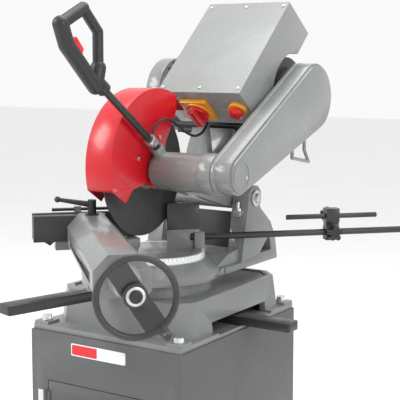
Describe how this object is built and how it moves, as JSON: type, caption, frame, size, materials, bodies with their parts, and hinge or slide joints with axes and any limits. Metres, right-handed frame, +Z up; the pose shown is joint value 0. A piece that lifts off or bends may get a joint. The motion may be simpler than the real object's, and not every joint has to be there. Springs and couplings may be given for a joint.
{
  "type": "abrasive chop saw",
  "caption": "Pedestal chop saw for metal: tilting belt-driven head with guarded abrasive disc on a swivel column, angled vise, length stop and steel cabinet.",
  "frame": {"origin": "on the floor under the vertical swivel axis of the saw head", "axes": "+Z up, +Y to the back of the cabinet, +X along the spindle towards the belt cover"},
  "size_m": [0.799, 1.3123, 1.5212],
  "materials": {
    "casting_grey": "satin hammered",
    "cabinet_grey": "satin",
    "box_grey": "satin",
    "guard_red": "gloss",
    "black_paint": "satin",
    "black_plastic": "fine grain",
    "knob_red": "gloss",
    "switch_yellow": "gloss",
    "bright_steel": "turned",
    "zinc": "zinc plated",
    "disc_black": "resin bonded grit",
    "belt_rubber": "matt",
    "cable_black": "matt",
    "motor_black": "satin",
    "scale_white": "satin"
  },
  "bodies": {
    "frame": {"cabinet_shell": "cabinet_grey", "door_hinges": "zinc", "base_casting": "casting_grey", "hold_down_bolts": "zinc", "vise_bed": "casting_grey", "scale_ring": "scale_white", "vise_nut": "bright_steel", "fence_left": "black_paint", "fence_right": "black_paint", "fence_screws": "zinc", "guide_rod": "black_paint", "stop_rod": "black_paint"},
    "door": {"cabinet_door": "cabinet_grey"},
    "left_lever": {"left_lock_lever": "black_paint"},
    "right_lever": {"right_lock_lever": "black_paint"},
    "column": {"swivel_column": "casting_grey", "angle_pointer": "zinc", "pivot_shaft": "bright_steel", "depth_stop": "zinc", "return_spring": "bright_steel", "swarf_shield": "black_paint"},
    "head": {"head_arm": "casting_grey", "spindle_bearings": "bright_steel", "blade_guard": "guard_red", "grip_body": "black_plastic", "handle_rod": "black_paint", "handle_cable": "cable_black", "cable_gland": "zinc", "control_box": "box_grey", "box_lid": "box_grey", "switch_plate": "switch_yellow", "estop_collar": "switch_yellow", "contactor": "black_plastic", "motor_body": "motor_black", "motor_cowl": "casting_grey", "motor_plate": "casting_grey", "belt_cover": "casting_grey", "drive_belts": "belt_rubber", "head_screws": "zinc"},
    "spindle": {"spindle_shaft": "bright_steel", "disc_flanges": "bright_steel", "spindle_nut": "zinc", "abrasive_disc": "disc_black", "spindle_pulley": "bright_steel"},
    "rotor": {"rotor_shaft": "bright_steel", "cooling_fan": "black_plastic", "motor_pulley": "bright_steel"},
    "trigger_button": {"trigger": "knob_red"},
    "main_switch": {"switch_knob": "knob_red"},
    "estop": {"estop_button": "knob_red"},
    "jaw": {"vise_slide": "casting_grey", "moving_jaw": "black_paint"},
    "wheel": {"vise_screw": "bright_steel", "handwheel": "black_plastic"},
    "wheel_grip": {"wheel_handle": "black_plastic"},
    "jaw_lever": {"clamp_lever": "black_plastic"},
    "stop_block": {"stop_clamp": "black_paint"},
    "finger": {"finger_rod": "black_paint"},
    "front_knob": {"front_star_knob": "black_plastic"},
    "rear_knob": {"rear_star_knob": "black_plastic"}
  },
  "joints": [
    {"name": "column_swivel", "type": "hinge", "parent": "frame", "child": "column", "pos_m": [0, 0, 0.8], "axis": [0, 0, 1], "range_deg": [0, 90]},
    {"name": "head_tilt", "type": "hinge", "parent": "column", "child": "head", "pos_m": [0, 0.258, 0.972], "axis": [-1, 0, 0], "range_deg": [0, 50]},
    {"name": "motor_spin", "type": "hinge", "parent": "head", "child": "rotor", "pos_m": [0, 0.365, 1.255], "axis": [-1, 0, 0], "continuous": true},
    {"name": "spindle_spin", "type": "hinge", "parent": "head", "child": "spindle", "pos_m": [0, -0.052, 1.072], "axis": [-1, 0, 0], "continuous": true},
    {"name": "trigger_pull", "type": "slide", "parent": "head", "child": "trigger_button", "axis": [0, -0.6853, -0.7283], "range_m": [0, 0.004], "stiffness_N_per_m": 600},
    {"name": "switch_turn", "type": "hinge", "parent": "head", "child": "main_switch", "pos_m": [0.065, 0.12149, 1.22864], "axis": [0, 0.5865, 0.8099], "range_deg": [0, 90]},
    {"name": "estop_push", "type": "slide", "parent": "head", "child": "estop", "axis": [0, 0.5865, 0.8099], "range_m": [0, 0.006], "stiffness_N_per_m": 800},
    {"name": "jaw_slide", "type": "slide", "parent": "frame", "child": "jaw", "axis": [0.7071, -0.7071, 0], "range_m": [-0.02, 0.15]},
    {"name": "wheel_turn", "type": "hinge", "parent": "jaw", "child": "wheel", "pos_m": [0.44053, -0.6866, 0.908], "axis": [-0.7071, 0.7071, 0], "range_deg": [-1260, 9060]},
    {"name": "wheel_handle_spin", "type": "hinge", "parent": "wheel", "child": "wheel_grip", "pos_m": [0.49216, -0.67032, 0.84654], "axis": [0.7071, -0.7071, 0], "continuous": true},
    {"name": "jaw_lever_turn", "type": "hinge", "parent": "jaw", "child": "jaw_lever", "pos_m": [-0.07071, -0.18102, 0.98], "axis": [0, 0, 1], "range_deg": [-60, 60]},
    {"name": "left_lever_turn", "type": "hinge", "parent": "frame", "child": "left_lever", "pos_m": [0, -0.111, 0.768], "axis": [0, 0, 1], "range_deg": [-12, 20]},
    {"name": "right_lever_turn", "type": "hinge", "parent": "frame", "child": "right_lever", "pos_m": [0.04, 0.082, 0.672], "axis": [0, 0, 1], "range_deg": [-22, 22]},
    {"name": "door_swing", "type": "hinge", "parent": "frame", "child": "door", "pos_m": [-0.191, -0.236, 0.3], "axis": [0, 0, -1], "range_deg": [0, 110]},
    {"name": "stop_slide", "type": "slide", "parent": "frame", "child": "stop_block", "axis": [0.7071, 0.7071, 0], "range_m": [-0.1, 0.24]},
    {"name": "finger_slide", "type": "slide", "parent": "stop_block", "child": "finger", "axis": [0.7071, 0.7071, 0], "range_m": [-0.09, 0.1]},
    {"name": "front_knob_turn", "type": "hinge", "parent": "stop_block", "child": "front_knob", "pos_m": [0.36062, 0.34931, 0.879], "axis": [0.7071, -0.7071, 0], "range_deg": [-180, 0]},
    {"name": "rear_knob_turn", "type": "hinge", "parent": "stop_block", "child": "rear_knob", "pos_m": [0.338, 0.37194, 0.924], "axis": [-0.7071, 0.7071, 0], "range_deg": [-180, 0]}
  ],
  "couplings": [
    {"joint": "spindle_spin", "follows": "motor_spin", "ratio": 1.25},
    {"joint": "wheel_turn", "follows": "jaw_slide", "rad_per_m": 1047.2}
  ]
}
